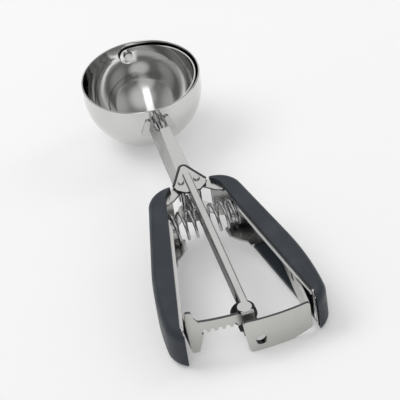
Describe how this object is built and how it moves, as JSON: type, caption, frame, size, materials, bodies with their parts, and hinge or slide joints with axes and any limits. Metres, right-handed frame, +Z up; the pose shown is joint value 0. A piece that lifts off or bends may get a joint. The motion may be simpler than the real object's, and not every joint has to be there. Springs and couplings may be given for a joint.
{
  "type": "lever ice cream scoop",
  "caption": "Squeeze-handle scoop: a round bowl with a sweeping wiper turned by a rack and pinion, spring-open handles with dark grips.",
  "frame": {"origin": "under the middle of the part's box, on the surface that it lies on", "axes": "+Y from the handles to the bowl, +Z up, +X to the right seen from the handle end"},
  "size_m": [0.0704, 0.2122, 0.0376],
  "materials": {
    "bowl_steel": "mirror polished stainless steel",
    "pressed_steel": "bright pressed stainless sheet",
    "plate_steel": "satin stainless sheet",
    "turned_steel": "turned stainless steel",
    "spring_steel": "bright spring wire",
    "dark_gear": "dark oiled gear",
    "cup_steel": "bright turned cup",
    "grip": "dark slate, satin"
  },
  "bodies": {
    "frame": {"bowl": "bowl_steel", "bowl_neck": "pressed_steel", "upper_yoke": "pressed_steel", "lower_yoke": "pressed_steel", "top_strap": "pressed_steel", "neck_bush": "turned_steel", "wiper_pivot_rivet": "turned_steel", "tail_bush": "turned_steel", "left_pivot_rivet": "turned_steel", "right_pivot_rivet": "turned_steel", "pivot_washers": "turned_steel", "handle_spring": "spring_steel"},
    "wiper": {"wiper_blade": "bowl_steel", "wiper_shaft": "turned_steel", "blade_collar": "turned_steel", "pinion_gear": "dark_gear", "tail_collar": "turned_steel"},
    "left_handle": {"left_handle_channel": "pressed_steel", "left_grip": "grip", "rack_plate": "plate_steel", "rack_leg": "plate_steel", "left_plate_rivets": "turned_steel", "left_spring_seat": "cup_steel"},
    "right_handle": {"right_handle_channel": "pressed_steel", "right_grip": "grip", "guide_plate": "plate_steel", "guide_leg": "plate_steel", "right_plate_rivets": "turned_steel", "right_spring_seat": "cup_steel"}
  },
  "joints": [
    {"name": "left_handle_squeeze", "type": "hinge", "parent": "frame", "child": "left_handle", "pos_m": [-0.0036, -0.00829, 0.01882], "axis": [0, -0.1068, 0.9943], "range_deg": [0, 7.4], "stiffness_Nm_per_rad": 2, "springref_deg": -2.86, "deforming": ["handle_spring"]},
    {"name": "right_handle_squeeze", "type": "hinge", "parent": "frame", "child": "right_handle", "pos_m": [0.0036, -0.00829, 0.01882], "axis": [0, -0.1068, 0.9943], "range_deg": [-7.4, 0]},
    {"name": "wiper_turn", "type": "hinge", "parent": "frame", "child": "wiper", "pos_m": [0, 0.07722, 0.028], "axis": [0, 0.9943, 0.1068], "range_deg": [0, 183]}
  ],
  "couplings": [
    {"joint": "right_handle_squeeze", "follows": "left_handle_squeeze", "ratio": -1},
    {"joint": "wiper_turn", "follows": "left_handle_squeeze", "ratio": 24.716}
  ]
}
